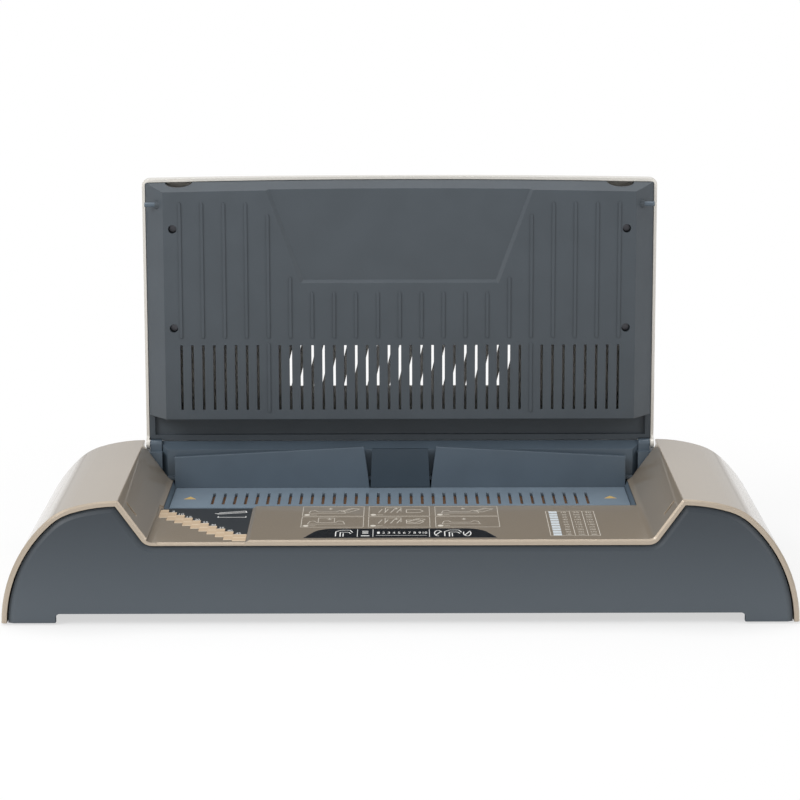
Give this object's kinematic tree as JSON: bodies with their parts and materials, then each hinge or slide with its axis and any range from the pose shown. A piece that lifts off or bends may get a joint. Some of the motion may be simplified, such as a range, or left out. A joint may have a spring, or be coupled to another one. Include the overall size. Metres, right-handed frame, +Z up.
{
  "type": "thermal binding machine",
  "caption": "Desktop thermal binding machine with a hinged lid standing open over a slotted heating plate, fence, spine gauge and rounded shoulders.",
  "frame": {"origin": "on the surface it stands on, at the middle of the footprint", "axes": "+X to the right of the operator, who stands at -Y; +Y to the back; +Z up"},
  "size_m": [0.53, 0.24, 0.2768],
  "materials": {
    "champagne_gloss": "glossy, metallic champagne",
    "slate_fascia": "satin slate blue",
    "slate_tray": "satin slate blue",
    "dark_slate": "satin, darker",
    "coated_plate": "grey-blue heat-proof coating",
    "steel_sheet": "plain sheet",
    "steel_pin": "turned",
    "steel_disc": "polished",
    "dark_screw": "blackened",
    "ceramic": "glazed white",
    "foil_element": "amber film",
    "black_plastic": "fine grain",
    "tinted_window": "smooth black",
    "beige_steps": "satin beige",
    "gauge_black": "satin black",
    "board_green": "solder mask",
    "lamp_lens": "frosted",
    "rubber": "matt",
    "acetal": "white",
    "copper_coil": "wound core with yellow tape",
    "inlet_black": "moulded",
    "contact_brass": "bright"
  },
  "bodies": {
    "base": {"top_skin": "champagne_gloss", "front_fascia": "slate_fascia", "binding_tray": "slate_tray", "fence_centre_panel": "dark_slate", "heating_plate": "coated_plate", "heating_element": "foil_element", "element_backing": "steel_sheet", "heat_shield": "steel_sheet", "plate_insulators": "ceramic", "thermostat": "black_plastic", "thermal_fuse": "steel_sheet", "temperature_sensor": "steel_sheet", "control_window": "tinted_window", "gauge_steps": "beige_steps", "gauge_field": "gauge_black", "control_board": "board_green", "indicator_lamps": "lamp_lens", "bottom_chassis": "dark_slate", "rubber_feet": "rubber", "base_screws": "dark_screw", "rear_cover": "slate_fascia", "power_inlet": "inlet_black", "inlet_blades": "contact_brass", "switch_housing": "inlet_black", "power_board": "board_green", "transformer": "copper_coil", "hinge_pins": "steel_pin"},
    "rocker": {"power_rocker": "black_plastic"},
    "lid": {"lid_shell": "champagne_gloss", "lid_liner": "slate_tray", "lid_screws": "dark_screw", "catch_discs": "steel_disc", "lid_pegs": "steel_pin", "hinge_bushes": "acetal"}
  },
  "joints": [
    {"name": "lid_hinge", "type": "hinge", "parent": "base", "child": "lid", "pos_m": [0, 0.0755, 0.082], "axis": [1, 0, 0], "range_deg": [0, 90]},
    {"name": "power_rocker_tilt", "type": "hinge", "parent": "base", "child": "rocker", "pos_m": [-0.143, 0.1148, 0.036], "axis": [1, 0, 0], "range_deg": [-18, 0]}
  ]
}
